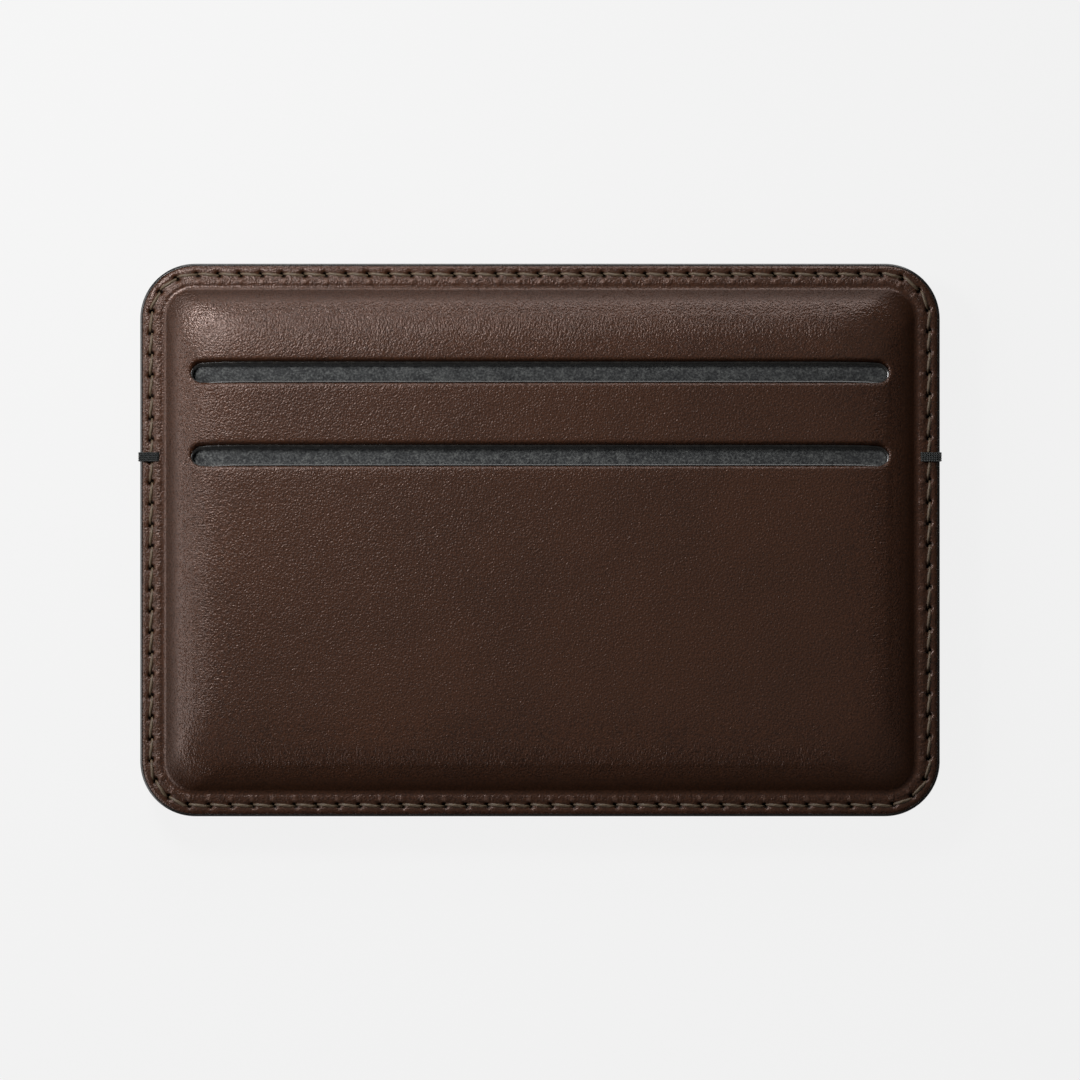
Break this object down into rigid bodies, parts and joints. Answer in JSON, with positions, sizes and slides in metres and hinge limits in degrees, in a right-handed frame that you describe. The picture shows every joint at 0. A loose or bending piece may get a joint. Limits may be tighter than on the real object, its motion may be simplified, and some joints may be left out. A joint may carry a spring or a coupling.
{
  "type": "minimalist wallet",
  "caption": "Slim leather card wallet: moulded, stitched halves with card slots, and a centre pocket whose mouth flexes open above side bar tacks.",
  "frame": {"origin": "middle of the back face that the wallet rests on", "axes": "+X across the wallet to the right of the front, +Y up the front towards the mouth, +Z out of the front"},
  "size_m": [0.1024, 0.0704, 0.009],
  "materials": {
    "leather": "dark brown full-grain leather with a fine pebble, satin",
    "microfibre": "charcoal microfibre felt, matte",
    "frame_board": "dark bonded board, matte",
    "edge_paint": "near-black edge paint, satin",
    "seam_thread": "brown waxed twisted thread",
    "tack_thread": "black twisted thread"
  },
  "bodies": {
    "wallet_body": {"back_cover": "leather", "back_frame": "frame_board", "back_lower_slot_wall": "microfibre", "back_upper_slot_wall": "microfibre", "back_lining": "microfibre", "back_edge_paint": "edge_paint", "back_lower_slot_edging": "edge_paint", "back_upper_slot_edging": "edge_paint", "back_stitches": "seam_thread", "front_cover": "leather", "front_frame": "frame_board", "front_lower_slot_wall": "microfibre", "front_upper_slot_wall": "microfibre", "front_lining": "microfibre", "front_edge_paint": "edge_paint", "front_lower_slot_edging": "edge_paint", "front_stitches": "seam_thread", "pocket_welt": "microfibre", "left_bar_tack": "tack_thread", "right_bar_tack": "tack_thread"},
    "mouth_flap": {"flap_cover": "leather", "flap_frame": "frame_board", "flap_lower_slot_wall": "microfibre", "flap_upper_slot_wall": "microfibre", "flap_lining": "microfibre", "flap_edge_paint": "edge_paint", "flap_lower_slot_edging": "edge_paint", "flap_upper_slot_edging": "edge_paint", "flap_stitches": "seam_thread"}
  },
  "joints": [
    {"name": "mouth_flex", "type": "hinge", "parent": "wallet_body", "child": "mouth_flap", "pos_m": [0, 0.0114, 0.009], "axis": [1, 0, 0], "range_deg": [0, 18], "stiffness_Nm_per_rad": 0.02}
  ]
}
